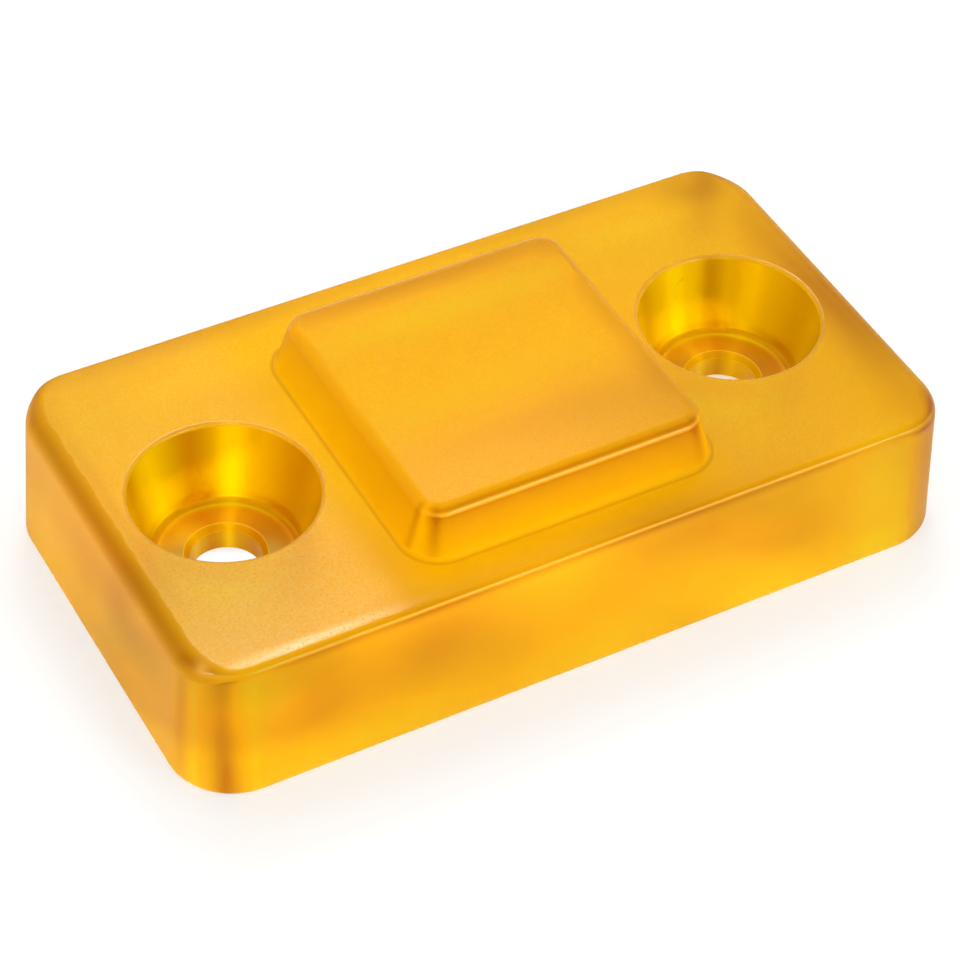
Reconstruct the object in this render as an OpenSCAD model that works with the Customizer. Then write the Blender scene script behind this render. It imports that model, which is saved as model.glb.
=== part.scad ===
// Polyurethane buffer block, cast in one piece.
// A drafted rectangular base carries a raised strike pad in its middle. Beside the pad,
// at either end, a tapered counterbore leads down to a screw hole in a thin web, and the
// underside is relieved below each web.
// The origin is the middle of the seat face. X runs along the length, +Z is up.

/* [Base] */
// Length of the base at its foot
base_length = 100; // [90:1:160]
// Width of the base at its foot
base_width = 55; // [50:1:90]
// Height from the seat face to the flat top of the base
base_height = 18.5; // [16:0.5:30]
// Radius of the four upright corners at the foot
base_corner_r = 8; // [5:0.5:12]
// Slope of the side walls away from upright, in degrees
base_draft = 3.4; // [1:0.1:6]
// Rounding of the top edge all round
base_edge_r = 0.9; // [0.5:0.1:2]
// Larger rounding of the two short top edges
base_end_r = 2.4; // [2.1:0.1:4]

/* [Strike pad] */
// Length of the pad at its foot
pad_length = 39.6; // [20:0.2:40]
// Width of the pad at its foot
pad_width = 40.4; // [20:0.2:42]
// Height of the pad above the flat top of the base
pad_height = 6.5; // [3:0.5:12]
// Distance from the middle of the base to the middle of the pad, across the width
pad_shift = -1.2; // [-1.5:0.1:1.5]
// Radius of the four upright corners at the foot of the pad
pad_corner_r = 4.7; // [4.2:0.1:9]
// Slope of the pad walls away from upright, in degrees
pad_draft = 16.5; // [2:0.5:17]
// Rounding of the top edge of the pad
pad_edge_r = 1.5; // [0.5:0.1:1.8]
// Hollow fillet where the pad walls meet the base
pad_foot_r = 0.8; // [0.3:0.1:1]

/* [Screw holes] */
// Distance between the two hole centres
hole_pitch = 67; // [66:0.5:67.5]
// Diameter of the screw hole
hole_d = 8.4; // [4.3:0.1:9]
// Width and depth of the bevel at the top of the hole
lead_in = 0.65; // [0.3:0.05:1]
// Depth of the counterbore below the flat top
counterbore_depth = 10; // [6:0.5:10.5]
// Diameter of the counterbore floor, where a washer sits
seat_d = 17.4; // [14:0.2:18]
// Diameter of the counterbore mouth, before its rim is rounded
mouth_d = 22.2; // [19:0.2:23]
// Rounding of the counterbore rim
rim_r = 0.5; // [0.2:0.1:1]
// Hollow fillet where the counterbore wall meets its floor
seat_fillet_r = 0.4; // [0.2:0.1:0.8]
// Diameter of the relief in the underside below each hole
relief_d = 20; // [12:0.5:22]
// Depth of the relief in the underside
relief_depth = 5; // [1:0.5:5]

/* [Hidden] */
amber = [0.95, 0.62, 0.05];
$fn = 96;
// Straight steps in the outline of each rounding
arc_steps = 6;
// How far a cutting shape runs past the face that it cuts
overshoot = 1;
// How deep the pad is rooted in the base, so that the two are one casting
root = 2;
pad_z = base_height;
floor_z = base_height - counterbore_depth;

// Point p to the nearest micrometre, so that pieces which share it meet exactly
function snap(p) = [round(p.x * 1000) / 1000, round(p.y * 1000) / 1000];

// Unit vector from point a to point b
function toward(a, b) = (b - a) / norm(b - a);

// Points of the round of radius r in the corner p, from where it touches the side that
// runs to a, turning about its centre, to where it touches the side that runs to b
function bend(p, a, b, r) =
    let (
        u = toward(p, a),
        v = toward(p, b),
        half_angle = acos(u * v) / 2,
        centre = p + (u + v) / norm(u + v) * r / sin(half_angle),
        first = p + u * r / tan(half_angle) - centre,
        last = p + v * r / tan(half_angle) - centre,
        turn = 180 - 2 * half_angle
    )
    [
        for (i = [0 : arc_steps])
            snap(centre + (sin(turn - turn * i / arc_steps) * first
                           + sin(turn * i / arc_steps) * last) / sin(turn))
    ];

// Half of an upright section: a wall that stands at half_w at the foot and leans in by
// draft degrees up to height h, with its top edge rounded
module wall_section(half_w, h, draft, edge_r) {
    foot = [half_w, 0];
    top = [half_w - h * tan(draft), h];
    polygon([[0, 0], foot, each bend(top, foot, [0, h], edge_r), [0, h]]);
}

// The same wall springing from the ground in a hollow fillet, and rooted below the ground
module rooted_section(half_w, h, draft, edge_r, foot_r, depth) {
    foot = [half_w, 0];
    top = [half_w - h * tan(draft), h];
    skirt = bend(foot, [2 * half_w, 0], top, foot_r);
    polygon([
        [0, -depth], skirt[0] - [0, depth], each skirt, each bend(top, foot, [0, h], edge_r),
        [0, h]
    ]);
}

// Rectangular block with upright corners of radius corner_r. The first child is its section
// across the width, the second is its section at the ends and round the corners.
module block_of(length, width, corner_r) {
    run_x = length / 2 - corner_r;
    run_y = width / 2 - corner_r;
    for (side = [0, 1]) rotate([0, 0, 180 * side]) {
        rotate([90, 0, 90]) linear_extrude(2 * run_x, center = true) children(0);
        translate([run_x, 0, 0]) rotate([90, 0, 0]) linear_extrude(2 * run_y, center = true)
            children(1);
        for (end = [-1, 1]) translate([end * run_x, run_y, 0])
            rotate([0, 0, end > 0 ? 0 : 90]) rotate_extrude(angle = 90) children(1);
    }
}

// What the larger rounding takes off one short top edge, along the whole width
module end_rounding() {
    foot = [base_length / 2, 0];
    top = [base_length / 2 - base_height * tan(base_draft), base_height];
    round = bend(top, foot, [0, base_height], base_end_r);
    rotate([90, 0, 0]) linear_extrude(base_width + 2 * overshoot, center = true)
        polygon([
            round[0] + [overshoot, 0], each round, round[arc_steps] + [0, overshoot],
            top + [overshoot, overshoot]
        ]);
}

module base() {
    difference() {
        block_of(base_length, base_width, base_corner_r) {
            wall_section(base_width / 2, base_height, base_draft, base_edge_r);
            wall_section(base_corner_r, base_height, base_draft, base_edge_r);
        }
        for (side = [0, 180]) rotate([0, 0, side]) end_rounding();
    }
}

module strike_pad() {
    translate([0, pad_shift, pad_z]) block_of(pad_length, pad_width, pad_corner_r) {
        rooted_section(pad_width / 2, pad_height, pad_draft, pad_edge_r, pad_foot_r, root);
        rooted_section(pad_corner_r, pad_height, pad_draft, pad_edge_r, pad_foot_r, root);
    }
}

// Space of one tapered counterbore, with its rounded rim and filleted floor
module counterbore() {
    corner = [seat_d / 2, floor_z];
    rim = [mouth_d / 2, base_height];
    mouth = bend(rim, corner, [mouth_d, base_height], rim_r);
    rotate_extrude()
        polygon([
            [0, floor_z], each bend(corner, [0, floor_z], rim, seat_fillet_r), each mouth,
            mouth[arc_steps] + [0, overshoot], [0, base_height + overshoot]
        ]);
}

// Space of the screw hole with its bevel, and of the relief below it
module screw_hole() {
    bevel_d = hole_d + 2 * lead_in;
    translate([0, 0, -overshoot]) cylinder(d = hole_d, h = floor_z + 2 * overshoot);
    translate([0, 0, floor_z - lead_in]) cylinder(d1 = hole_d, d2 = bevel_d, h = lead_in);
    translate([0, 0, -overshoot]) cylinder(d = relief_d, h = relief_depth + overshoot);
}

module buffer_block() {
    color(amber) difference() {
        union() {
            base();
            strike_pad();
        }
        for (side = [-1, 1]) translate([side * hole_pitch / 2, 0, 0]) {
            counterbore();
            screw_hole();
        }
    }
}

buffer_block();
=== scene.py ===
"""Looks of a cast polyurethane buffer block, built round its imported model.

The block is one casting, so its looks are one closed skin: drafted outer walls, flat top
and seat, strike pad, and two stepped screw holes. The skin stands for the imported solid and
keeps its sizes. Lengths are in millimetres in the classes and in metres in Blender.
"""

import logging
import math
from dataclasses import dataclass

import bmesh
import bpy
import numpy as np
from mathutils import Matrix, Vector


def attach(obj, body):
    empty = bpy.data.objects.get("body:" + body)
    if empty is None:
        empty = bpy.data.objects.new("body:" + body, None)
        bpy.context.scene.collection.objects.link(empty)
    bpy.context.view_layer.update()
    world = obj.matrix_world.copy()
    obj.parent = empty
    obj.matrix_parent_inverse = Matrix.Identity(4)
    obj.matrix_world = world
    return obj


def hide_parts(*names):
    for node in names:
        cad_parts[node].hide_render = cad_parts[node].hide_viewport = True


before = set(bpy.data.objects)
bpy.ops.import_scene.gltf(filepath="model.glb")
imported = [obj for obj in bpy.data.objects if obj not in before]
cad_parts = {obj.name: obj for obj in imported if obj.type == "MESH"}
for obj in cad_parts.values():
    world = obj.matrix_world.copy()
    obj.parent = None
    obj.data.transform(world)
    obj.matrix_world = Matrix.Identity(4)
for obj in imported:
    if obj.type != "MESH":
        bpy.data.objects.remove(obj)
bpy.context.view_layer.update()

Colour = tuple[float, float, float, float]
WHITE: Colour = (1.0, 1.0, 1.0, 1.0)
LOG = logging.getLogger("buffer_block")
MM = 0.001
TINY = 1e-9
HAIR_MM = 1e-6
WELD_M = 1e-7
SLIVER_M = 1e-8
PHOTO_SIDE_PX = 960
SENSOR_MM = 36.0
PAINTED_SHADING = "painted_shading_and_marks"
GLOSS = "gloss"


def unit(v: np.ndarray) -> np.ndarray:
    """Return v scaled to length one along its last axis."""
    return v / np.linalg.norm(v, axis=-1, keepdims=True)


def pointing(angles: np.ndarray) -> np.ndarray:
    """Return vectors of length one in the plane that point at those angles, in radians."""
    return np.stack([np.cos(angles), np.sin(angles)], -1)


def angle_of(v: np.ndarray) -> np.ndarray:
    """Return the angle that each vector points at in the plane, in radians."""
    return np.arctan2(v[..., 1], v[..., 0])


def run_to_sides(rays: np.ndarray, half_x: float, half_y: float | np.ndarray) -> np.ndarray:
    """Return how far rays from the middle run to a rectangle's sides, shape (n, 1).

    A ray meets the lines of the sides at half_x / |cos| and half_y / |sin|, and the
    rectangle itself at the smaller of the two.
    """
    return np.minimum(half_x / np.maximum(np.abs(rays[:, 0]), TINY),
                      half_y / np.maximum(np.abs(rays[:, 1]), TINY))[:, None]


def bend(corner: np.ndarray, back: np.ndarray, ahead: np.ndarray, radius: float | np.ndarray,
         steps: int) -> np.ndarray:
    """Round a corner of an outline in the plane.

    The arc touches both sides of the corner. Its centre lies on the line that halves the
    corner, at radius / sin(half the corner's angle), and the arc is the turn of the spoke
    from one touching point to the other: spoke(t) = (sin((1 - t) turn) first +
    sin(t turn) last) / sin(turn).

    Args:
        corner: Corner point, shape (2,) or (n, 2).
        back: Any point on the side before the corner.
        ahead: Any point on the side after it.
        radius: Radius, one number or one for each corner.
        steps: Straight steps along the arc.

    Returns:
        Points of the arc, shape (steps + 1, 2) or (n, steps + 1, 2).
    """
    radius = np.asarray(radius, float)[..., None]
    u, v = unit(back - corner), unit(ahead - corner)
    half = np.arccos(np.clip((u * v).sum(-1, keepdims=True), -1, 1)) / 2
    centre = corner + unit(u + v) * radius / np.sin(half)
    first = corner + u * radius / np.tan(half) - centre
    last = corner + v * radius / np.tan(half) - centre
    turn = (np.pi - 2 * half)[..., None, :]
    t = np.linspace(0, 1, steps + 1)[:, None]
    spokes = np.sin((1 - t) * turn) * first[..., None, :] + np.sin(t * turn) * last[..., None, :]
    return centre[..., None, :] + spokes / np.sin(turn)


def eased(steps: int) -> np.ndarray:
    """Return steps + 1 shares from 0 to 1, close together at both ends: (1 - cos(pi t)) / 2."""
    return (1 - np.cos(np.pi * np.linspace(0, 1, steps + 1))) / 2


def bell(where: np.ndarray, centre: float, spread: float) -> np.ndarray:
    """Return a hump that is 1 at the centre: exp(-((where - centre) / spread)^2)."""
    return np.exp(-(((where - centre) / spread) ** 2))


def ramp(where: np.ndarray, low: float, high: float) -> np.ndarray:
    """Return a smooth rise from 0 at low to 1 at high: s s (3 - 2 s), s the share of the way."""
    share = np.clip((where - low) / (high - low), 0, 1)
    return share**2 * (3 - 2 * share)


@dataclass
class Outline:
    """Rounded rectangle, held as spokes: where each starts and which way it points.

    The wall at some height is start + direction * reach, where reach is the distance from the
    corner's own axis, so one set of spokes serves every height of a drafted wall.
    """

    starts: np.ndarray
    directions: np.ndarray

    @staticmethod
    def along(half_x: float, half_y: float, corner_r: float, front: np.ndarray,
              back: np.ndarray, ends: np.ndarray, corner_steps: int) -> "Outline":
        """Lay spokes round the rectangle, counterclockwise seen from above.

        Args:
            half_x: Half of the length.
            half_y: Half of the width.
            corner_r: Radius of the upright corners.
            front: Places along X of the spokes of the front side, in rising order.
            back: The same for the back side.
            ends: Places along Y of the spokes of both short sides, in rising order.
            corner_steps: Steps round each corner.

        Returns:
            The outline, starting at the front end of the right side.
        """
        a, b = half_x - corner_r, half_y - corner_r
        arc = np.linspace(0, np.pi / 2, corner_steps + 1)[1:-1]
        sides = [(a, ends), (b, back[::-1]), (-a, ends[::-1]), (-b, front)]
        corners = [(a, b), (-a, b), (-a, -b), (a, -b)]
        starts, angles = [], []
        for quarter, ((fixed, places), corner) in enumerate(zip(sides, corners)):
            side = np.column_stack([np.full(len(places), fixed), places])
            starts += [side[:, ::-1] if quarter % 2 else side, np.tile(corner, (len(arc), 1))]
            angles += [np.full(len(side), quarter * np.pi / 2), quarter * np.pi / 2 + arc]
        return Outline(np.concatenate(starts), pointing(np.concatenate(angles)))

    @staticmethod
    def seen_from_middle(half_x: float, half_y: float, corner_r: float, angles: np.ndarray,
                         middle_y: float) -> "Outline":
        """Lay spokes where rays from the middle of the rectangle meet it.

        Where a ray would meet the sides beyond both straight stretches, it meets the
        corner's circle instead, at the larger root of its quadratic.

        Args:
            half_x: Half of the length.
            half_y: Half of the width.
            corner_r: Radius of the corners.
            angles: Directions of the rays.
            middle_y: Place of the rectangle's middle along Y.

        Returns:
            The outline, one spoke for each ray.
        """
        ray = pointing(angles)
        point = ray * run_to_sides(ray, half_x, half_y)
        inner = np.array([half_x - corner_r, half_y - corner_r])
        corner = np.sign(ray) * inner
        in_corner = (np.abs(point) > inner - TINY).all(-1)
        dot = (ray * corner).sum(-1)
        root = dot + np.sqrt(np.maximum(dot**2 - (corner**2).sum(-1) + corner_r**2, 0))
        point = np.where(in_corner[:, None], ray * root[:, None], point)
        outward = np.where((np.abs(point[:, 0]) >= half_x - TINY)[:, None],
                           np.sign(ray) * [1, 0], np.sign(ray) * [0, 1])
        outward = np.where(in_corner[:, None], unit(point - corner), outward)
        return Outline(point - outward * corner_r + [0, middle_y], outward)

    def wall(self, profile: np.ndarray) -> np.ndarray:
        """Carry an upright profile round the outline.

        Args:
            profile: Points (reach, z), shape (rows, 2), or (n, rows, 2) for a profile that
                changes from spoke to spoke.

        Returns:
            Grid of points, shape (rows, n, 3).
        """
        n = len(self.starts)
        rows = np.broadcast_to(profile, (n, *profile.shape[-2:]))
        flat = self.starts[:, None] + self.directions[:, None] * rows[..., :1]
        return np.concatenate([flat, rows[..., 1:]], -1).transpose(1, 0, 2)


def ring(inner: np.ndarray, outer: np.ndarray, steps: int) -> np.ndarray:
    """Fill the flat between two loops with rings, close together at both loops.

    Args:
        inner: Loop of n points, or one point for a disc.
        outer: Loop of n points.
        steps: Rings between them.

    Returns:
        Grid of points, shape (steps + 1, n, 3).
    """
    share = eased(steps)[:, None, None]
    return inner + share * (outer - inner)


def put(name: str, data: bpy.types.ID) -> bpy.types.Object:
    """Make an object of that name and data, link it to the scene and return it."""
    made = bpy.data.objects.new(name, data)
    bpy.context.scene.collection.objects.link(made)
    return made


class Skin:
    """Grids of points that are stitched into one closed mesh."""

    def __init__(self) -> None:
        """Start with no grids."""
        self.points: list[np.ndarray] = []
        self.paint: dict[str, list[np.ndarray]] = {PAINTED_SHADING: [], GLOSS: []}
        self.faces: list[np.ndarray] = []
        self.count = 0

    def add(self, grid: np.ndarray, painted_shading_and_marks: float | np.ndarray = 0.0,
            gloss: float | np.ndarray = 0.0) -> None:
        """Take in a grid whose last column meets its first.

        Args:
            grid: Points, shape (rows, columns, 3), in millimetres.
            painted_shading_and_marks: Painted shade there, 1 for darkest, or painted light for
                negative
            values down to -1 for palest, for the grid, for each row with shape (rows, 1), or for
            each point.
            gloss: Weight of the glossy coat there, in the same forms.
        """
        rows, columns = grid.shape[:2]
        for name, value in ((PAINTED_SHADING, painted_shading_and_marks), (GLOSS, gloss)):
            self.paint[name].append(np.broadcast_to(value, (rows, columns)).reshape(-1))
        index = self.count + np.arange(rows * columns).reshape(rows, columns)
        nxt = np.roll(index, -1, axis=1)
        quads = np.stack([index[:-1], nxt[:-1], nxt[1:], index[1:]], -1).reshape(-1, 4)
        self.points.append(grid.reshape(-1, 3))
        self.faces.append(quads)
        self.count += rows * columns

    def to_object(self, name: str) -> bpy.types.Object:
        """Weld the grids where they meet and make the object.

        Args:
            name: Name of the object and its mesh.

        Returns:
            The object, at the origin, with smooth faces that point outwards.
        """
        mesh = bpy.data.meshes.new(name)
        mesh.from_pydata((np.concatenate(self.points) * MM).tolist(), [],
                         np.concatenate(self.faces).tolist())
        for layer_name, values in self.paint.items():
            layer = mesh.attributes.new(layer_name, "FLOAT", "POINT")
            layer.data.foreach_set("value", np.concatenate(values))
        made = bmesh.new()
        made.from_mesh(mesh)
        bmesh.ops.remove_doubles(made, verts=made.verts, dist=WELD_M)
        bmesh.ops.dissolve_degenerate(made, edges=made.edges, dist=SLIVER_M)
        bmesh.ops.recalc_face_normals(made, faces=made.faces)
        open_edges = sum(not edge.is_manifold for edge in made.edges)
        made.to_mesh(mesh)
        made.free()
        mesh.shade_smooth()
        LOG.info("%s: %d faces, %d open edges", name, len(mesh.polygons), open_edges)
        return put(name, mesh)


@dataclass(frozen=True)
class Patch:
    """Soft patch in space: exp(-(dx / reach x)^2 - (dy / reach y)^2 - (dz / reach z)^2)."""

    centre: tuple[float, float, float]
    reach: tuple[float, float, float]
    strength: float

    def at(self, points: np.ndarray) -> np.ndarray:
        """Return the patch's strength at each point, without the last axis."""
        away = (points - np.array(self.centre)) / np.array(self.reach)
        return self.strength * np.exp(-(away**2).sum(-1))


@dataclass(frozen=True)
class Band:
    """Hump of that strength along one measure: strength * bell(where, centre, spread)."""

    centre: float
    spread: float
    strength: float = 1.0

    def at(self, where: np.ndarray) -> np.ndarray:
        """Return the band's strength at each place."""
        return self.strength * bell(where, self.centre, self.spread)


@dataclass(frozen=True)
class Rise:
    """Smooth rise from nothing at start to that strength at stop, in millimetres."""

    start: float
    stop: float
    strength: float = 1.0

    def at(self, where: np.ndarray) -> np.ndarray:
        """Return the strength at each place."""
        return self.strength * ramp(where, self.start, self.stop)


@dataclass(frozen=True)
class Streak:
    """Upright streak of painted shade, or of painted light where its strength is negative, at one
    turn round an upright corner or a hole, in degrees.
    """

    turn: float
    spread: float
    strength: float

    def at(self, degrees: np.ndarray, period: float = 360.0) -> np.ndarray:
        """Return the streak's strength at each turn, repeated every period."""
        away = (degrees - self.turn + period / 2) % period - period / 2
        return self.strength * bell(away, 0.0, self.spread)


@dataclass
class Paint:
    """Painted shade and painted light over the skin, and how much its gloss shows.

    The bands, streaks and patches stand in for the light that gathers inside the clear casting
    and leaves it unevenly: positive strengths are painted shade, negative ones painted light. The
    bands of a rounding run over t, its share of the way from the wall to the flat. Those named
    gloss weight the coat.
    """

    # Painted shade and light on the top rounding and foot of the outer wall, and its gloss
    left_crown: Band = Band(0.58, 0.42, 0.75)
    right_crown: Band = Band(0.58, 0.42, 0.15)
    corner_crown: Band = Band(0.5, 0.3, 0.4)
    side_crown: float = 0.45
    side_fall: int = 4
    side_line: Band = Band(0.54, 0.08, 0.2)
    side_pale: Band = Band(0.36, 0.12, -0.7)
    side_gloss: Band = Band(0.38, 0.12, 0.42)
    under_edge_mm: float = 0.5
    toe_gloss: float = 1.0
    # Painted shade and light on the pad's foot, wall and top rounding, and its gloss
    pad_foot: Band = Band(0.35, 0.2, 0.5)
    pad_front_foot: float = 0.2
    pad_wall: float = 0.3
    pad_front: float = 0.6
    pad_front_crown: Band = Band(0.45, 0.15, 0.3)
    pad_front_pale: Band = Band(0.15, 0.12, -0.9)
    pad_far_crown: float = 0.3
    pad_front_gloss: Band = Band(0.15, 0.10, 0.5)
    pad_back_gloss: tuple[Band, ...] = (Band(0.05, 0.12, 0.5), Band(0.7, 0.12, 0.5))
    pad_right_gloss: Band = Band(0.5, 0.2, 0.15)
    # Pale haze on the level tops
    haze: float = 0.05
    haze_left: Rise = Rise(20, -30, 0.115)
    haze_front: Rise = Rise(10, -20, 0.07)
    haze_pad_front: Rise = Rise(-3, -16, 0.09)
    clear_pad: Band = Band(3, 10)
    clear_of_pad: Rise = Rise(1, 7)
    right_of_pad: Rise = Rise(18, 22)
    clear_right: Rise = Rise(34, 42, 0.85)
    before_pad_mm: float = 3.0
    # Counterbores: painted shade round the foot of the wall, a painted pale line on the floor, and
    # the gloss on the rim and inside
    foot_shade: Band = Band(0.7, 0.6, 0.25)
    foot_line: Band = Band(0.9, 0.25, -0.4)
    fillet_matt: Band = Band(0.0, 0.6)
    wall_foot_mm: float = 0.3
    level_mm: float = 0.1
    below_mm: float = 0.05
    rim_reach: float = 1.2
    rim_gloss: float = 0.5
    pocket_gloss: float = 0.3
    # Upright streaks of painted light and shade
    wall_streaks: tuple[Streak, ...] = (
        Streak(58, 13, 0.85),
        Streak(30, 4, -0.6),
        Streak(16, 7, 0.25),
        Streak(85, 8, -0.4),
        Streak(125, 26, 0.6),
    )
    pad_streaks: tuple[Streak, ...] = (
        Streak(195, 9, 0.45),
        Streak(210, 8, -0.55),
        Streak(236, 10, 0.45),
        Streak(295, 14, 0.4),
        Streak(320, 8, -0.2),
    )
    left_hole_streaks: tuple[Streak, ...] = (
        Streak(60, 8, -1.2),
        Streak(120, 9, -0.3),
        Streak(88, 18, 0.6),
        Streak(12, 30, 0.5),
        Streak(-40, 25, 0.4),
        Streak(150, 12, 0.3),
    )
    right_hole_streaks: tuple[Streak, ...] = (
        Streak(97, 8, -0.55),
        Streak(42, 9, -0.5),
        Streak(64, 9, 0.4),
        Streak(130, 16, 0.45),
        Streak(-2, 28, 0.5),
        Streak(-45, 25, 0.4),
    )
    patches: tuple[Patch, ...] = (
        # Painted shade and light on the flat top and its rounding
        Patch((45.9, -2, 18.5), (3.2, 18, 0.8), 0.85),
        Patch((42, 22.5, 18.5), (5, 3.5, 1), 0.6),
        Patch((-34, -19, 18.5), (13, 6, 1), -0.05),
        Patch((-22, -18, 18.5), (2.5, 7, 1), 0.2),
        Patch((-46, 2, 18.5), (1.2, 16, 1), 0.3),
        Patch((-47, 23, 17.3), (3, 3, 2), -0.35),
        Patch((46, -24, 17.6), (3.6, 3, 0.75), 0.7),
        Patch((-25, 25.5, 18.5), (26, 2.2, 1), 0.45),
        Patch((25, 25.5, 18.5), (20, 1.6, 1), 0.25),
        Patch((-24, 18.5, 18.5), (16, 2.5, 1), -0.3),
        Patch((29, 19.5, 18.5), (9, 2.2, 1), -0.4),
        Patch((9, -25.5, 18.4), (12, 2.6, 1), 0.4),
        # Painted light and shade bands on the pad's top
        Patch((0, 10, 25), (20, 2.6, 1), -0.65),
        Patch((-3, -4, 25), (15, 3.5, 1), -0.45),
        Patch((0, 3, 25), (22, 9, 1), -0.15),
        Patch((2, -11, 25), (16, 3, 1), 0.15),
        Patch((0, 16, 25), (19, 2.8, 1), 0.55),
        Patch((17, 0, 25), (2.4, 16, 1), 0.45),
        Patch((8, -13, 25), (12, 5, 1), 0.15),
        # Painted shade on the left wall
        Patch((-50, 0, 12), (2, 20, 8), 0.6),
        Patch((-50, 0, 2), (2, 14, 3), 0.25),
        # Painted light and shade on the front wall
        Patch((-43, -27, 14), (3.5, 3, 6), -0.8),
        Patch((-28, -27, 2.5), (7, 3, 3), -0.5),
        Patch((-42, -27, 2), (5, 4, 4), 0.25),
        Patch((-20, -27, 13), (9, 3, 8), 0.8),
        Patch((-36, -27, 8), (6, 3, 8), 0.3),
        Patch((28, -27, 8), (11, 3, 9), 0.33),
        Patch((16, -27, 4), (6, 3, 4), 0.15),
        Patch((-11, -27, 6), (5, 3, 6), 0.25),
        Patch((2, -27, 9), (9, 3, 4), 0.2),
        Patch((0, -27, 2), (9, 3, 3), -0.3),
        Patch((9, -27, 15.5), (12, 3, 3.5), 0.35),
        Patch((38, -27, 12), (4, 3, 8), -0.85),
        Patch((39, -27, 2), (4, 3, 2.5), -0.8),
        # Painted light under the bright line of the front edge, and a painted highlight at its
        # catchlight
        Patch((-35, -24.9, 18.5), (9, 0.6, 1), -0.5),
        Patch((-47.2, -23.2, 18.05), (0.8, 0.8, 0.5), -0.8),
    )
    shines: tuple[Patch, ...] = (
        Patch((-35, -25.0, 18.5), (9, 0.5, 1), 0.8),
        Patch((-47.2, -23.2, 18.05), (1.0, 1.0, 0.7), 1.0),
    )

    def spots(self, points: np.ndarray) -> np.ndarray:
        """Return the sum of the patches at each point."""
        return sum(patch.at(points) for patch in self.patches)

    def outer(self, block: "BufferBlock", directions: np.ndarray,
              wall: np.ndarray) -> tuple[np.ndarray, np.ndarray]:
        """Paint the outer wall, row by row from the seat to the flat top.

        On the top rounding the short ends get painted shade along the middle. The sides get a thin
        painted dark line at the wall, a painted pale band under the coat's highlight, and a second
        thin painted dark line. Upright streaks and patches add painted light and shade.

        Args:
            block: The casting.
            directions: The way each spoke points.
            wall: Points of the wall, shape (rows, n, 3).

        Returns:
            Painted shading and gloss, both of shape (rows, n).
        """
        end, side = directions[:, 0] ** 2, directions[:, 1] ** 2
        corner = 2 * np.sqrt(end * side)
        turn = np.degrees(angle_of(directions))
        t = np.linspace(0, 1, block.arc_steps + 1)[:, None]
        ends = np.where(directions[:, 0] < 0, self.left_crown.at(t), self.right_crown.at(t))
        sides = self.side_crown * (1 - t) ** self.side_fall + self.side_line.at(t) \
            + self.side_pale.at(t)
        crown = end * ends + side * sides + corner * self.corner_crown.at(t)
        toe_rows, crown_rows = block.arc_steps // 2 + 1, block.arc_steps + 1
        upright = np.zeros(wall.shape[:2])
        upright[:-crown_rows] = sum(s.at(turn, 180) for s in self.wall_streaks)
        upright[:-crown_rows] += side * self.side_crown * bell(
            wall[:-crown_rows, :, 2], block.height - block.side_edge_r, self.under_edge_mm)
        upright[-crown_rows:] = crown
        gloss = np.zeros(wall.shape[:2])
        gloss[:toe_rows] = self.toe_gloss
        gloss[-crown_rows:] = side**2 * self.side_gloss.at(t)
        gloss += sum(shine.at(wall) for shine in self.shines)
        return upright + self.spots(wall), gloss

    def pad(self, block: "BufferBlock", directions: np.ndarray,
            wall: np.ndarray) -> tuple[np.ndarray, np.ndarray]:
        """Paint the pad's foot, wall and top rounding, row by row upwards.

        Args:
            block: The casting.
            directions: The way each spoke points.
            wall: Points of the wall, shape (rows, n, 3).

        Returns:
            Painted shading and gloss, both of shape (rows, n).
        """
        # Painted shade: a line in the hollow foot, growing up the wall and along the crown;
        # painted light on the front foot and under the front highlight; streaks of both
        steps = block.arc_steps
        t = np.linspace(0, 1, steps + 1)[:, None]
        turn = np.degrees(angle_of(directions))
        front = np.maximum(-directions[:, 1], 0) ** 2
        back = np.maximum(directions[:, 1], 0) ** 2
        right = np.maximum(directions[:, 0], 0) ** 2
        streaks = sum(s.at(turn) for s in self.pad_streaks)
        wall_top = self.pad_wall + self.pad_front * front
        pale_foot = self.pad_front_foot * front
        foot = self.pad_foot.at(t) - pale_foot * t
        up = np.linspace(0, 1, steps - 1)[:, None]
        rise = up * wall_top + streaks - (1 - up) * pale_foot
        crown = (wall_top + streaks) * (1 - t) \
            + front * (self.pad_front_crown.at(t) + self.pad_front_pale.at(t)) \
            + (back + right) * self.pad_far_crown * t
        gloss = np.zeros(wall.shape[:2])
        gloss[-steps - 1:] = front * self.pad_front_gloss.at(t) \
            + back * sum(band.at(t) for band in self.pad_back_gloss) \
            + right * self.pad_right_gloss.at(t)
        return np.concatenate([foot, rise, crown]), gloss

    def flat(self, block: "BufferBlock", points: np.ndarray) -> tuple[np.ndarray, np.ndarray]:
        """Paint a level top with patches of painted light and shade. Its pale haze grows towards
        the front left of the block, and the pad keeps the haze off the base beside its front and
        left walls.

        Args:
            block: The casting.
            points: Grid of points, shape (rows, n, 3).

        Returns:
            Painted shading and gloss, both of shape (rows, n).
        """
        x, y, z = points[..., 0], points[..., 1], points[..., 2]
        on_pad = z > block.height + block.pad_height / 2
        haze = self.haze * (1 - on_pad * self.clear_pad.at(y)) \
            + (self.haze_left.at(x) + self.haze_front.at(y)) * ~on_pad \
            + self.haze_pad_front.at(y) * on_pad
        beside = np.maximum(
            np.abs(x) - block.pad_length / 2,
            np.abs(y - block.pad_shift) - block.pad_width / 2 - self.before_pad_mm)
        free = np.maximum(self.clear_of_pad.at(beside), self.right_of_pad.at(x)) \
            * (1 - self.clear_right.at(x))
        gloss = haze * np.where(on_pad, 1.0, free)
        return self.spots(points), gloss + sum(shine.at(points) for shine in self.shines)

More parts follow.
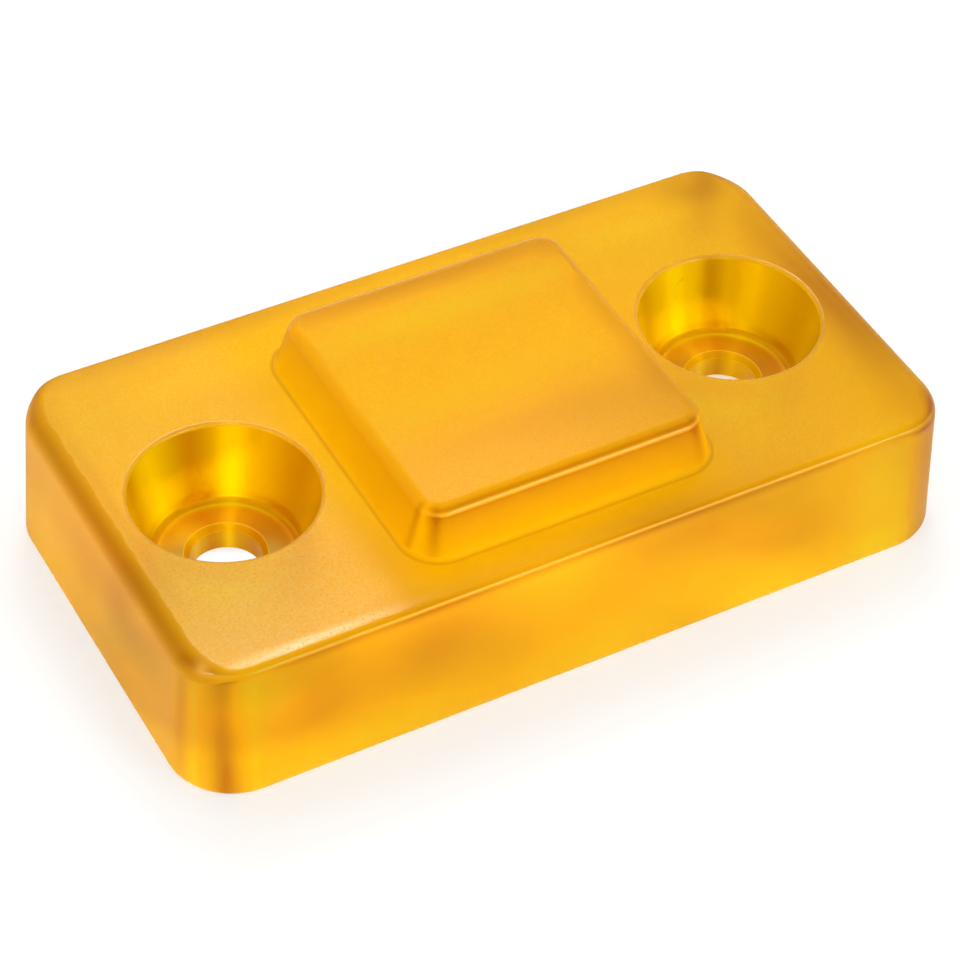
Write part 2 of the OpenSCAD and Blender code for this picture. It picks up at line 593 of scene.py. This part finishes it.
    def hole(self, block: "BufferBlock", profile: np.ndarray, phi: np.ndarray,
             right: bool) -> tuple[np.ndarray, np.ndarray]:
        """Paint one stepped hole.

        Args:
            block: The casting.
            profile: Rows of (radius, z, painted shading, share of the painted streaks).
            phi: Turn of each spoke, in radians.
            right: Whether it is the hole on the right.

        Returns:
            Painted shading and gloss, both of shape (rows, n).
        """
        streaks = self.right_hole_streaks if right else self.left_hole_streaks
        around = sum(s.at(np.degrees(phi)) for s in streaks)
        radius, above = profile[:, 0:1], profile[:, 1:2] - block.floor_z
        wall = (radius > block.seat_r - self.wall_foot_mm) & (above > -self.level_mm)
        # Painted shade round the foot of the wall, and a painted pale line on the floor beside it
        foot = self.foot_shade.at(above) * wall \
            + self.foot_line.at(block.seat_r - radius) * (np.abs(above) < self.level_mm)
        rim = above > block.counterbore_depth - self.rim_reach * block.rim_r
        matt = np.maximum(self.fillet_matt.at(np.hypot(radius - block.seat_r, above)),
                          above < -self.below_mm)
        gloss = np.where(rim, self.rim_gloss, self.pocket_gloss * (1 - matt)) * np.ones(len(phi))
        return profile[:, 2:3] + foot + profile[:, 3:4] * around, gloss


@dataclass
class BufferBlock:
    """The casting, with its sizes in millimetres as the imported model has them."""

    length: float = 100.0
    width: float = 55.0
    height: float = 18.5
    corner_r: float = 8.0
    draft_deg: float = 3.4
    side_edge_r: float = 0.9
    end_edge_r: float = 2.4
    foot_edge_r: float = 0.4
    pad_length: float = 39.6
    pad_width: float = 40.4
    pad_height: float = 6.5
    pad_shift: float = -1.2
    pad_corner_r: float = 4.7
    pad_draft_deg: float = 16.5
    pad_edge_r: float = 1.5
    pad_foot_r: float = 0.8
    hole_pitch: float = 67.0
    hole_r: float = 4.2
    lead_in: float = 0.65
    counterbore_depth: float = 10.0
    seat_r: float = 8.7
    mouth_r: float = 11.1
    rim_r: float = 0.5
    seat_fillet_r: float = 0.4
    relief_r: float = 10.0
    relief_depth: float = 5.0
    sharp_edge_r: float = 0.12
    split_x: float = 21.2
    edge_turn: tuple[float, float] = (1 / 3, 1.0)
    corner_steps: int = 28
    arc_steps: int = 12
    wall_steps: int = 26
    flat_steps: int = 18
    spacing: float = 1.2
    same_angle: float = 1e-4

    @property
    def floor_z(self) -> float:
        """Height of the counterbores' floor above the seat."""
        return self.height - self.counterbore_depth

    def edge_radius(self, directions: np.ndarray) -> np.ndarray:
        """Rounding of the top edge: wide at the short ends, narrow along the sides.

        It grows smoothly while the wall's direction turns towards an end, past the first third.
        """
        turned = ramp(np.abs(directions[:, 0]), *self.edge_turn)
        return self.side_edge_r + (self.end_edge_r - self.side_edge_r) * turned

    def pad_profile(self) -> np.ndarray:
        """Return the pad's upright profile: hollow foot, leaning wall, rounded top edge."""
        foot = np.array([self.pad_corner_r, self.height])
        lean = self.pad_height * math.tan(math.radians(self.pad_draft_deg))
        top = foot + [-lean, self.pad_height]
        hollow = bend(foot, foot + [1, 0], top, self.pad_foot_r, self.arc_steps)
        crown = bend(top, foot, top - [1, 0], self.pad_edge_r, self.arc_steps)
        straight = hollow[-1] + eased(self.arc_steps)[1:-1, None] * (crown[0] - hollow[-1])
        return np.concatenate([hollow, straight, crown])

    def outer_profile(self, directions: np.ndarray) -> np.ndarray:
        """Upright profile of the outer wall for each spoke, from the seat to the flat top."""
        n = len(directions)
        foot = np.tile([self.corner_r, 0.0], (n, 1))
        lean = self.height * math.tan(math.radians(self.draft_deg))
        top = foot + [-lean, self.height]
        toe = bend(foot, foot - [1, 0], top, np.full(n, self.foot_edge_r), self.arc_steps // 2)
        crown = bend(top, foot, top - [1, 0], self.edge_radius(directions), self.arc_steps)
        share = eased(self.wall_steps)[1:-1, None]
        straight = toe[:, -1:] + share * (crown[:, :1] - toe[:, -1:])
        return np.concatenate([toe, straight, crown], 1)

    def hole_profile(self) -> np.ndarray:
        """Profile of one stepped screw hole, from the mouth to the seat face.

        Returns:
            Rows of (radius, z, painted shading, share of the painted streaks).
        """
        floor = self.floor_z
        # Each corner: its point and radius, then for its arc and for the run after it the painted
        # shading and the share of the painted streaks
        corners = [
            ([self.mouth_r, self.height], self.rim_r, (0.3, 0.3), (0.35, 1.0)),
            ([self.seat_r, floor], self.seat_fillet_r, (0.7, 0.2), (0.7, 0.35)),
            ([self.hole_r + self.lead_in, floor], self.sharp_edge_r, (0.1, 0.5), (0.5, 0.5)),
            ([self.hole_r, floor - self.lead_in], self.sharp_edge_r, (0.5, 0.3), (0.65, 0.5)),
            ([self.hole_r, self.relief_depth], self.sharp_edge_r, (0.3, 0.3), (0.2, 0.0)),
            ([self.relief_r, self.relief_depth], self.seat_fillet_r, (0.5, 0.0), (0.2, 0.0)),
            ([self.relief_r, 0.0], self.sharp_edge_r, (0.2, 0.0), (0.0, 0.0)),
        ]
        stops = [np.array(row[0]) for row in corners]
        stops = [stops[0] + [1, 0], *stops, stops[-1] + [1, 0]]
        rows, run_look = [], (0.0, 0.0)
        for before, (corner, radius, arc_look, next_look), after in zip(stops, corners, stops[2:]):
            arc = bend(np.array(corner), before, after, radius, self.arc_steps // 2)
            if rows:
                last = rows[-1][-1, :2]
                run = last + eased(self.arc_steps)[1:-1, None] * (arc[0] - last)
                rows.append(np.column_stack([run, np.tile(run_look, (len(run), 1))]))
            rows.append(np.column_stack([arc, np.tile(arc_look, (len(arc), 1))]))
            run_look = next_look
        return np.concatenate(rows)

    def pad_rays(self, half_y: float) -> np.ndarray:
        """Directions from the pad's middle that reach its corners closely and the cell's corners.

        Args:
            half_y: Half of the width of the flat top.

        Returns:
            Rising angles, without repeats.
        """
        a, b = self.pad_length / 2 - self.pad_corner_r, self.pad_width / 2 - self.pad_corner_r
        steps_x, steps_y = round(2 * a / self.spacing), round(2 * b / self.spacing)
        path = Outline.along(self.pad_length / 2, self.pad_width / 2, self.pad_corner_r,
                             np.linspace(-a, a, steps_x + 1), np.linspace(-a, a, steps_x + 1),
                             np.linspace(-b, b, steps_y + 1), self.corner_steps // 2)
        loop = path.starts + path.directions * self.pad_corner_r
        cell = np.array([(x, y - self.pad_shift) for x in (-self.split_x, self.split_x)
                         for y in (-half_y, half_y)])
        angles = np.sort(angle_of(np.concatenate([loop, cell])))
        return angles[np.append(True, np.diff(angles) > self.same_angle)]

    def build(self, paint: Paint) -> bpy.types.Object:
        """Work out every grid of the skin and stitch them.

        The flat top and the seat are split at x = -split_x and +split_x into a middle cell
        and two end cells. Each cell is filled with rings between what stands or opens in it
        and its own border, and neighbouring cells share their border's points.

        Args:
            paint: How deep and how glossy each place looks.

        Returns:
            The finished object.
        """
        skin = Skin()
        side_profile = self.outer_profile(np.array([[0.0, 1.0]]))[0]
        half_top = self.width / 2 - self.corner_r + side_profile[-1, 0]
        rays = self.pad_rays(half_top)
        half_cell = np.where(rays > 0, half_top - self.pad_shift, half_top + self.pad_shift)
        border = pointing(rays) * run_to_sides(pointing(rays), self.split_x, half_cell) \
            + [0, self.pad_shift]
        on_side = np.abs(border[:, 0]) < self.split_x - HAIR_MM
        a, b = self.length / 2 - self.corner_r, self.width / 2 - self.corner_r
        outer = np.linspace(self.split_x, a, round((a - self.split_x) / self.spacing) + 1)
        front, back = (np.concatenate([
            -outer[::-1], np.sort(border[on_side & (side * border[:, 1] > 0), 0]), outer])
            for side in (-1, 1))
        ends = np.linspace(-b, b, round(2 * b / self.spacing) + 1)
        outline = Outline.along(self.length / 2, self.width / 2, self.corner_r, front, back,
                                ends, self.corner_steps)
        wall = outline.wall(self.outer_profile(outline.directions))
        skin.add(wall, *paint.outer(self, outline.directions, wall))
        pad = Outline.seen_from_middle(self.pad_length / 2, self.pad_width / 2,
                                       self.pad_corner_r, rays, self.pad_shift)
        pad_wall = pad.wall(self.pad_profile())
        skin.add(pad_wall, *paint.pad(self, pad.directions, pad_wall))
        middle = np.array([0.0, self.pad_shift, self.height + self.pad_height])
        pad_top = ring(middle, pad_wall[-1], self.wall_steps)
        skin.add(pad_top, *paint.flat(self, pad_top))
        side_y = {side: np.sort(border[~on_side & (side * border[:, 0] > 0), 1])
                  for side in (-1, 1)}
        top_cell, top_ends = self.cells(wall[-1], side_y, half_top)
        seat_cell, seat_ends = self.cells(wall[0], side_y, half_top)
        first = np.argmin(angle_of(top_cell - middle))
        strip = ring(pad_wall[0], np.roll(top_cell, -first, axis=0), self.flat_steps)
        skin.add(strip, *paint.flat(self, strip))
        profile, seat_rims = self.hole_profile(), {}
        for side, cell in top_ends.items():
            centre = np.array([side * self.hole_pitch / 2, 0.0])
            phi = angle_of(cell[:, :2] - centre)
            across = centre + pointing(phi) * profile[:, None, :1]
            up = np.broadcast_to(profile[:, None, 1:2], (*across.shape[:2], 1))
            hole = np.concatenate([across, up], -1)
            around = ring(hole[0], cell, self.flat_steps)
            skin.add(around, *paint.flat(self, around))
            skin.add(hole, *paint.hole(self, profile, phi, side > 0))
            seat_rims[side] = hole[-1]
        skin.add(ring(np.zeros(3), seat_cell, self.arc_steps))
        for side, cell in seat_ends.items():
            skin.add(ring(seat_rims[side], cell, self.flat_steps))
        return skin.to_object("block_skin")

    def cells(self, loop: np.ndarray, side_y: dict[int, np.ndarray],
              half_top: float) -> tuple[np.ndarray, dict[int, np.ndarray]]:
        """Split a loop of the outer wall into the borders of the middle and end cells.

        Args:
            loop: Loop of the outer wall, counterclockwise, shape (n, 3).
            side_y: For each side, the places along Y of the split line's points on the top.
            half_top: Half of the width of the flat top, which scales those places.

        Returns:
            The middle cell's border and the two end cells' borders, all counterclockwise.
        """
        n, z = len(loop), loop[0, 2]

        def at(x: float, behind: bool) -> int:
            """Index of the point on the front or back side at that x."""
            on = (loop[:, 1] > 0) == behind
            return int(np.argmin(np.where(on, np.abs(loop[:, 0] - x), np.inf)))

        back_right, back_left = at(self.split_x, True), at(-self.split_x, True)
        front_left, front_right = at(-self.split_x, False), at(self.split_x, False)
        stretch = abs(loop[back_right, 1]) / half_top
        line = {}
        for side, ys in side_y.items():
            inner = ys[np.abs(ys) < half_top - HAIR_MM] * stretch
            x = np.full(len(inner), side * self.split_x)
            line[side] = np.column_stack([x, inner, np.full(len(inner), z)])

        def run(first: int, last: int) -> np.ndarray:
            """Points of the loop from first to last, counterclockwise, both taken in."""
            return loop[np.arange(first, last + 1 if last >= first else last + n + 1) % n]

        middle = np.concatenate([run(front_left, front_right), line[1], run(back_right, back_left),
                                 line[-1][::-1]])
        ends = {1: np.concatenate([run(front_right, back_right), line[1][::-1]]),
                -1: np.concatenate([run(back_left, front_left), line[-1]])}
        return middle, ends


class Sock:
    """An output of a shader node, whose arithmetic adds Math nodes."""

    def __init__(self, shader: "Shader", socket: bpy.types.NodeSocket) -> None:
        """Wrap a socket of that shader."""
        self.shader, self.socket = shader, socket

    def math(self, operation: str, *others: "Sock | float", clamp: bool = False) -> "Sock":
        """Return this value put through a Math node with the others as its next inputs."""
        values = {i: v for i, v in enumerate((self, *others))}
        return self.shader.node("ShaderNodeMath", {"operation": operation, "use_clamp": clamp},
                                values)

    def __add__(self, other: "Sock | float") -> "Sock":
        """Return self + other."""
        return self.math("ADD", other)

    __radd__ = __add__

    def __mul__(self, other: "Sock | float") -> "Sock":
        """Return self * other."""
        return self.math("MULTIPLY", other)

    def __sub__(self, other: "Sock | float") -> "Sock":
        """Return self - other."""
        return self.math("SUBTRACT", other)

    def __rsub__(self, other: float) -> "Sock":
        """Return other - self."""
        return (self * -1.0) + other

    def __pow__(self, other: float) -> "Sock":
        """Return self to the power of other."""
        return self.math("POWER", other)

    def step(self, low: float, high: float) -> "Sock":
        """Return 0 below low, 1 above high, and a smooth rise between them."""
        return self.shader.node("ShaderNodeMapRange", {"interpolation_type": "SMOOTHSTEP"},
                                {"Value": self, "From Min": low, "From Max": high})


class Shader:
    """A material's or the world's node tree."""

    def __init__(self, tree: bpy.types.NodeTree) -> None:
        """Empty the tree and take it over."""
        self.tree = tree
        tree.nodes.clear()

    def node(self, kind: str, settings: dict | None = None, values: dict | None = None,
             out: int | str = 0) -> Sock:
        """Add a node.

        Args:
            kind: Blender's name of the node's type.
            settings: Its properties, such as a Math node's operation.
            values: Numbers, colours or other sockets, by input name or index.
            out: Output that the result wraps.

        Returns:
            That output, with the node itself in its socket.node.
        """
        made = self.tree.nodes.new(kind)
        for key, value in (settings or {}).items():
            setattr(made, key, value)
        for key, value in (values or {}).items():
            if isinstance(value, Sock):
                self.tree.links.new(value.socket, made.inputs[key])
            else:
                made.inputs[key].default_value = value
        return Sock(self, made.outputs[out] if made.outputs else None)

    def vector(self, operation: str, first: Sock | Vector, second: Sock | Vector | float,
               out: int | str = 0) -> Sock:
        """Return two vectors, or a vector and its scale, put through a Vector Math node."""
        key = "Scale" if operation == "SCALE" else 1
        return self.node("ShaderNodeVectorMath", {"operation": operation},
                         {0: first, key: second}, out)

    def mix(self, share: Sock | float, first: Sock | tuple, second: Sock | tuple) -> Sock:
        """Return a colour that goes from first to second as share goes from 0 to 1."""
        return self.node("ShaderNodeMix", {"data_type": "RGBA"},
                         {"Factor": share, 6: first, 7: second}, 2)

    def place(self) -> tuple[Sock, Sock, Sock, Sock]:
        """Return the Object coordinates in millimetres: the vector, x, y and z."""
        scaled = self.vector("SCALE", self.node("ShaderNodeTexCoord", out="Object"), 1 / MM)
        x = self.node("ShaderNodeSeparateXYZ", values={0: scaled})
        outs = x.socket.node.outputs
        return scaled, x, Sock(self, outs[1]), Sock(self, outs[2])

    def hole_radius(self, x: Sock, y: Sock, pitch_mm: float) -> Sock:
        """Return how far the place is from the axis of the screw hole on its side."""
        off_axis = x.math("ABSOLUTE") - pitch_mm / 2
        return (off_axis * off_axis + y * y) ** 0.5

    def background_seen(self) -> tuple[Sock, Sock]:
        """Return two shares that are 1 where the background is looked at, and 0 elsewhere.

        Returns:
            The share for the camera alone, and the share for the camera, for reflections and
            for views through the block together.
        """
        outs = self.node("ShaderNodeLightPath").socket.node.outputs
        camera, glossy, through = (Sock(self, outs[name]) for name in (
            "Is Camera Ray", "Is Glossy Ray", "Is Transmission Ray"))
        return camera, camera.math("ADD", glossy, clamp=True).math("ADD", through, clamp=True)

    def line_distance(self, place: Sock, first: Vector, last: Vector) -> Sock:
        """Return how far the place is from the straight line between two points.

        The nearest point lies at the share (place - first) . along / |along|^2 of the way,
        kept from 0 to 1, where along = last - first.
        """
        along = last - first
        offset = self.vector("SUBTRACT", place, first)
        share = self.vector("DOT_PRODUCT", offset, along, "Value")
        share = share.math("DIVIDE", along.length_squared, clamp=True)
        return self.vector("DISTANCE", offset, self.vector("SCALE", along, share), "Value")

    def noise(self, place: Sock, grain_mm: float, detail: float) -> Sock:
        """Return noise from 0 to 1 whose lumps are about grain_mm wide."""
        return self.node("ShaderNodeTexNoise", values={
            "Vector": place, "Scale": 1 / grain_mm, "Detail": detail})


@dataclass(frozen=True)
class AmberPolyurethane:
    """Clear amber polyurethane, cast against a satin mould with polished counterbore pins."""

    tint: Colour = (1.0, 0.65, 0.05, 1.0)
    # Colour of painted light, also of random cloudy tone and grain
    pale: Colour = (1.0, 1.0, 0.20, 1.0)
    # Colour of painted shade, also of the marks and specks
    shade_and_mark_colour: Colour = (0.30, 0.07, 0.003, 1.0)
    absorb: Colour = (0.9997, 0.99, 0.0, 1.0)
    absorb_per_m: float = 600.0
    ior: float = 1.35
    gleam: Colour = (1.0, 0.75, 0.05, 1.0)
    satin: float = 0.50
    polished: float = 0.34
    gloss_rough: float = 0.16
    cloud_mm: float = 18.0
    cloud_from: tuple[float, float] = (0.35, 0.65)
    cloud_share: float = 0.15
    blotch_mm: float = 6.0
    blotch_rough: float = 0.12
    blotch_coat: float = 0.5
    mouth_blend_mm: float = 0.3
    sunk_mm: tuple[float, float] = (-0.35, -0.05)
    above_floor_mm: tuple[float, float] = (0.1, 0.5)
    floor_rim_mm: tuple[float, float] = (-0.8, -0.1)
    past_hole_mm: float = 0.1
    floor_yellow: float = 0.4
    mark_mm: float = 0.2
    mark_strength: float = 0.35
    marks: tuple[tuple[Vector, Vector], ...] = (
        (Vector((-28.3, 9.2, 16.3)), Vector((-28.1, 8.8, 15.3))),
        (Vector((32.5, 10.4, 15.75)), Vector((33.5, 10.55, 16.2))))
    level_from: tuple[float, float] = (0.985, 0.9995)
    grain_mm: float = 0.3
    grain_pale: float = 1.2
    grain_coat: float = 2.4
    grain_height_mm: float = 0.012
    grain_on_walls: float = 0.15
    speck_mm: float = 0.28
    speck_from: tuple[float, float] = (0.28, 0.38)
    speck_deep: float = 0.8
    wave_mm: float = 9.0
    wave_height_mm: float = 0.012

    def material(self, block: BufferBlock) -> bpy.types.Material:
        """Make the material.

        Args:
            block: The casting, whose hole places and sizes the masks follow.

        Returns:
            The material.
        """
        made = bpy.data.materials.new("amber_polyurethane")
        made.use_nodes = True
        s = Shader(made.node_tree)
        place, x, y, z = s.place()
        radius = s.hole_radius(x, y, block.hole_pitch)
        mouth, sunk = block.mouth_r, z - block.height
        in_pocket = (1.0 - radius.step(mouth - self.mouth_blend_mm, mouth + self.mouth_blend_mm)) \
            * (1.0 - sunk.step(*self.sunk_mm))
        on_floor = in_pocket * (1.0 - (z - block.floor_z).step(*self.above_floor_mm)) \
            * (1.0 - (radius - block.seat_r).step(*self.floor_rim_mm)) \
            * radius.step(block.hole_r + self.past_hole_mm, block.hole_r + block.lead_in)
        blotch = s.noise(place, self.blotch_mm, 3.0)
        grain = s.noise(place, self.grain_mm, 2.0)
        wave = s.noise(place, self.wave_mm, 2.0)
        rough = (1.0 - in_pocket) * (self.satin + (blotch - 0.5) * self.blotch_rough) \
            + in_pocket * self.polished
        upward = s.node("ShaderNodeSeparateXYZ", values={
            0: s.node("ShaderNodeNewGeometry", out="Normal")}, out="Z")
        level = upward.step(*self.level_from) * (1.0 - in_pocket)
        # Painted shade, and painted light where negative, read from the skin; real marks and dark
        # specks of the satin grain are then added to it
        painted_shading_and_marks = s.node("ShaderNodeAttribute", {"attribute_name": PAINTED_SHADING}, out="Fac")
        for first, last in self.marks:
            away = s.line_distance(place, first, last)
            painted_shading_and_marks = painted_shading_and_marks + (1.0 - away.step(0.0, self.mark_mm)) * self.mark_strength
        gloss = s.node("ShaderNodeAttribute", {"attribute_name": GLOSS}, out="Fac")
        cloud = s.noise(place, self.cloud_mm, 1.0).step(*self.cloud_from)
        speck = 1.0 - s.noise(place, self.speck_mm, 0.0).step(*self.speck_from)
        painted_shading_and_marks = painted_shading_and_marks + speck * level * gloss * self.speck_deep
        # Paler: random cloudy tone and grain, painted light where the painted shading is negative,
        # and the counterbore floors painted paler
        paler = cloud * self.cloud_share + (grain - 0.5) * level * self.grain_pale \
            - painted_shading_and_marks * (1.0 - on_floor) + on_floor * self.floor_yellow
        colour = s.mix(painted_shading_and_marks, s.mix(paler, self.tint, self.pale), self.shade_and_mark_colour)
        height = (grain - 0.5) * self.grain_height_mm \
            * (level * (1.0 - self.grain_on_walls) + self.grain_on_walls) \
            + (wave - 0.5) * self.wave_height_mm
        bump = s.node("ShaderNodeBump", values={
            "Strength": 1.0, "Distance": MM, "Height": height})
        coat = gloss * (1.0 + (blotch - 0.5) * self.blotch_coat
                        + (grain - 0.5) * level * self.grain_coat)
        surface = s.node("ShaderNodeBsdfPrincipled", values={
            "Base Color": colour, "Roughness": rough, "IOR": self.ior,
            "Specular Tint": self.gleam, "Transmission Weight": 1.0, "Coat Weight": coat,
            "Coat Roughness": self.gloss_rough, "Normal": bump})
        inside = s.node("ShaderNodeVolumeAbsorption", values={
            "Color": self.absorb, "Density": self.absorb_per_m})
        s.node("ShaderNodeOutputMaterial", values={"Surface": surface, "Volume": inside})
        return made


@dataclass
class Lamp:
    """Soft rectangular lamp that the camera doesn't see, aimed at the middle of the seat."""

    name: str
    place: tuple[float, float, float]
    width_m: float
    height_m: float
    watts: float

    def hang(self) -> bpy.types.Object:
        """Put the lamp into the scene, level, and return it."""
        data = bpy.data.lights.new(self.name, "AREA")
        data.shape, data.size, data.size_y = "RECTANGLE", self.width_m, self.height_m
        data.energy = self.watts
        lamp = put(self.name, data)
        lamp.location = self.place
        lamp.rotation_mode = "QUATERNION"
        lamp.rotation_quaternion = (-Vector(self.place)).to_track_quat("-Z", "Y")
        lamp.visible_camera = False
        LOG.info("%s: %.2f W", self.name, self.watts)
        return lamp


@dataclass
class Studio:
    """White sweep under soft light, and the camera of the photograph."""

    floor_half_m: float = 3.0
    floor_gap_mm: float = 0.05
    floor_colour: Colour = (0.86, 0.86, 0.86, 1.0)
    white_share: float = 0.45
    far_mm: tuple[float, float] = (110.0, 260.0)
    hole_blend_mm: float = 2.0
    horizon_strength: float = 0.54
    zenith_strength: float = 1.36
    sky_rise: tuple[float, float] = (0.4, 1.0)
    most_bounces: int = 32
    lamps: tuple[Lamp, ...] = (
        Lamp("overhead_softbox", (0.06, 0.25, 0.45), 0.30, 0.30, 0.65),
        Lamp("glint", (0.115, 0.24, 0.40), 0.11, 0.07, 0.26),
        Lamp("low_strip", (0.155, -0.37, 0.11), 0.24, 0.07, 0.6),
        Lamp("catchlight", (-0.372, -0.095, 0.232), 0.06, 0.04, 0.2),
    )
    lens_px: float = 3278.6
    azimuth_deg: float = -30.291
    elevation_deg: float = 44.304
    roll_deg: float = 2.642
    distance_mm: float = 388.73
    aside_mm: float = 0.255
    above_mm: float = 2.668
    clip_m: tuple[float, float] = (0.01, 20.0)

    def add_floor(self, block: BufferBlock) -> bpy.types.Object:
        """Lay the floor: partly plain white to the camera, so that its shadow stays soft.

        Below the two screw holes it is nearly all plain white, as the holes show it.

        Args:
            block: The block, for the places of its holes.

        Returns:
            The floor.
        """
        h, z = self.floor_half_m, -self.floor_gap_mm * MM
        mesh = bpy.data.meshes.new("floor")
        mesh.from_pydata([(-h, -h, z), (h, -h, z), (h, h, z), (-h, h, z)], [], [(0, 1, 2, 3)])
        floor = put("floor", mesh)
        made = bpy.data.materials.new("white_floor")
        made.use_nodes = True
        s = Shader(made.node_tree)
        matt = s.node("ShaderNodeBsdfDiffuse", values={"Color": self.floor_colour})
        white = s.node("ShaderNodeEmission", values={"Color": WHITE, "Strength": 1.0})
        camera, seen = s.background_seen()
        _, x, y, _ = s.place()
        radius = s.hole_radius(x, y, block.hole_pitch)
        under_hole = 1.0 - radius.step(block.relief_r - self.hole_blend_mm, block.relief_r)
        far = ((x * x + y * y) ** 0.5).step(*self.far_mm)
        share = seen * (far * (1.0 - self.white_share) + self.white_share) \
            + camera * under_hole * (1.0 - self.white_share)
        both = s.node("ShaderNodeMixShader", values={0: share, 1: matt, 2: white})
        s.node("ShaderNodeOutputMaterial", values={"Surface": both})
        mesh.materials.append(made)
        LOG.info("floor: %.1f m wide, %.0f %% plain white", 2 * h, 100 * self.white_share)
        return floor

    def add_world(self) -> None:
        """Surround the scene with white light that grows from the horizon to the zenith."""
        world = bpy.data.worlds.new("studio")
        world.use_nodes = True
        bpy.context.scene.world = world
        s = Shader(world.node_tree)
        way = s.node("ShaderNodeTexCoord", out="Generated")
        height = s.node("ShaderNodeSeparateXYZ", values={0: way}, out="Z").step(*self.sky_rise)
        strength = height * (self.zenith_strength - self.horizon_strength) + self.horizon_strength
        light = s.node("ShaderNodeBackground", values={"Color": WHITE, "Strength": strength})
        white = s.node("ShaderNodeBackground", values={"Color": WHITE, "Strength": 1.0})
        _, seen = s.background_seen()
        both = s.node("ShaderNodeMixShader", values={0: seen, 1: light, 2: white})
        s.node("ShaderNodeOutputWorld", values={"Surface": both})

    def let_light_wander(self) -> None:
        """Let light turn often enough inside the block to find its way out again."""
        cycles = bpy.context.scene.cycles
        cycles.max_bounces = self.most_bounces
        cycles.transmission_bounces = self.most_bounces
        cycles.glossy_bounces = self.most_bounces // 2

    def add_camera(self, aim_z_mm: float) -> bpy.types.Object:
        """Set up the photograph's camera, aimed near the middle of the block.

        Args:
            aim_z_mm: Height of the point on the upright axis that it aims beside.

        Returns:
            The camera.
        """
        az, el, roll = (math.radians(d) for d in (self.azimuth_deg, self.elevation_deg,
                                                  self.roll_deg))
        back = Vector((math.sin(az) * math.cos(el), -math.cos(az) * math.cos(el), math.sin(el)))
        level = Vector((0, 0, 1)).cross(back).normalized()
        rise = back.cross(level)
        right = level * math.cos(roll) + rise * math.sin(roll)
        up = rise * math.cos(roll) - level * math.sin(roll)
        data = bpy.data.cameras.new("photo_camera")
        data.sensor_width = SENSOR_MM
        data.lens = self.lens_px / PHOTO_SIDE_PX * SENSOR_MM
        data.clip_start, data.clip_end = self.clip_m
        camera = put("photo_camera", data)
        at = Vector((0, 0, aim_z_mm)) + back * self.distance_mm - right * self.aside_mm \
            - up * self.above_mm
        camera.matrix_world = Matrix.Translation(at * MM) @ Matrix(
            (right, up, back)).transposed().to_4x4()
        bpy.context.scene.camera = camera
        LOG.info("%s: lens %.1f mm", camera.name, data.lens)
        return camera


def main() -> None:
    """Build the studio and the block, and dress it."""
    logging.basicConfig(level=logging.INFO, format="%(name)s: %(message)s")
    bpy.context.scene.view_settings.view_transform = "Standard"
    block = BufferBlock()
    studio = Studio()
    studio.add_camera(block.height / 2)
    studio.add_world()
    studio.add_floor(block)
    studio.let_light_wander()
    for lamp in studio.lamps:
        lamp.hang()
    skin = block.build(Paint())
    skin.data.materials.append(AmberPolyurethane().material(block))
    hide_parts("buffer_block")
    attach(skin, "root")


if __name__ == "__main__":
    main()
